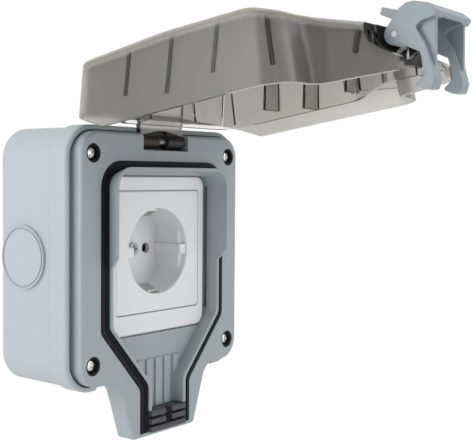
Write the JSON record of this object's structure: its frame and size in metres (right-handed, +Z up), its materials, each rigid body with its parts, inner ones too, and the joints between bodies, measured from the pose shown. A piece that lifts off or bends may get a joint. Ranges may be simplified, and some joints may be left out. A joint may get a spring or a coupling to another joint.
{
  "type": "outdoor weatherproof socket",
  "caption": "Weatherproof outdoor wall socket: surface box and gasketed frame round a recessed outlet, with a hinged smoked lid and a rocker clip that hooks behind the cable chin.",
  "frame": {"origin": "centre of the wall face of the back box", "axes": "+Y points into the wall, -Y is the front, +Z is up, +X is right seen from the front"},
  "size_m": [0.1134, 0.1886, 0.1806],
  "materials": {
    "box_plastic": "fine moulded texture",
    "frame_plastic": "satin moulded",
    "clip_plastic": "satin moulded",
    "smoked_plastic": "smoked translucent",
    "rubber": "matt",
    "steel": "plain",
    "white_plastic": "gloss",
    "base_plastic": "plain",
    "brass": "plain"
  },
  "bodies": {
    "enclosure": {"back_box": "box_plastic", "front_frame": "frame_plastic", "lid_gasket": "rubber", "box_seal": "rubber", "cable_seal": "rubber", "screw_seals": "rubber", "cover_screws": "steel", "hinge_pin": "steel", "plate_screws": "steel", "mounting_yoke": "steel", "centre_screw": "steel", "earth_strap": "steel", "support_plate": "white_plastic", "socket_face": "white_plastic", "socket_base": "base_plastic", "line_contact": "brass", "neutral_contact": "brass", "terminal_screws": "steel"},
    "lid": {"lid_cover": "smoked_plastic", "latch_pin": "steel"},
    "clip": {"latch": "clip_plastic"}
  },
  "joints": [
    {"name": "lid_hinge", "type": "hinge", "parent": "enclosure", "child": "lid", "pos_m": [0, -0.044, 0.051], "axis": [1, 0, 0], "range_deg": [0, 98.94]},
    {"name": "clip_pivot", "type": "hinge", "parent": "lid", "child": "clip", "pos_m": [0, -0.17189, 0.08742], "axis": [1, 0, 0], "range_deg": [-15, 18.6]}
  ]
}
